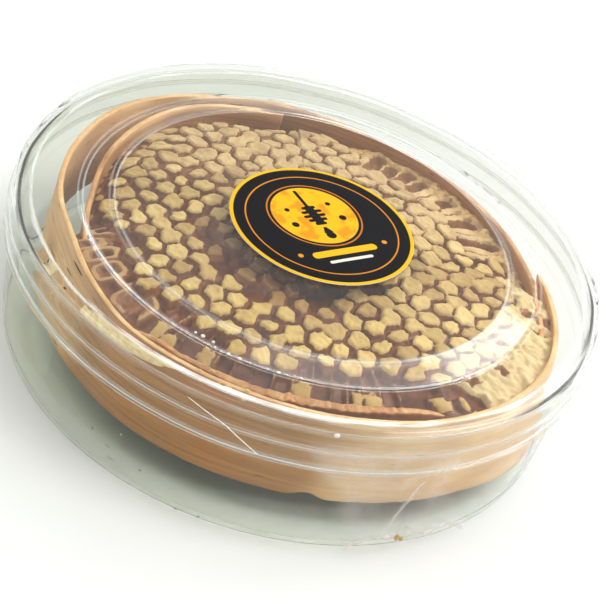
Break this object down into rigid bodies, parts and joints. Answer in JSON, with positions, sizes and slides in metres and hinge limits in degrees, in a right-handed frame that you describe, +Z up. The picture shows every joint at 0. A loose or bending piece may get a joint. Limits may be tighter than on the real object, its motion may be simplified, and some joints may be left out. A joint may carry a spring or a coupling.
{
  "type": "packed honeycomb",
  "caption": "Round honeycomb in a wound veneer hoop, shut in a clear shallow tub with a press-on lid, a round label and a strip of clear tape.",
  "frame": {"origin": "on the surface that the tub stands on, under the middle of the tub", "axes": "+Z up, -Y towards the side with the tape, +X to the right seen from that side"},
  "size_m": [0.1274, 0.1274, 0.0339],
  "materials": {
    "clear_plastic": "clear thin thermoformed plastic, glossy, faintly green",
    "clear_tape": "clear glossy film, a little wrinkled",
    "label": null,
    "veneer": "thin peeled wood veneer, straight grain, a few dark flecks and splinters",
    "comb": "cream wax cappings over glossy brown honey"
  },
  "bodies": {
    "root": {"tub": "clear_plastic", "lid": "clear_plastic", "label": "label", "hoop": "veneer", "comb": "comb", "tape": "clear_tape"}
  },
  "joints": []
}
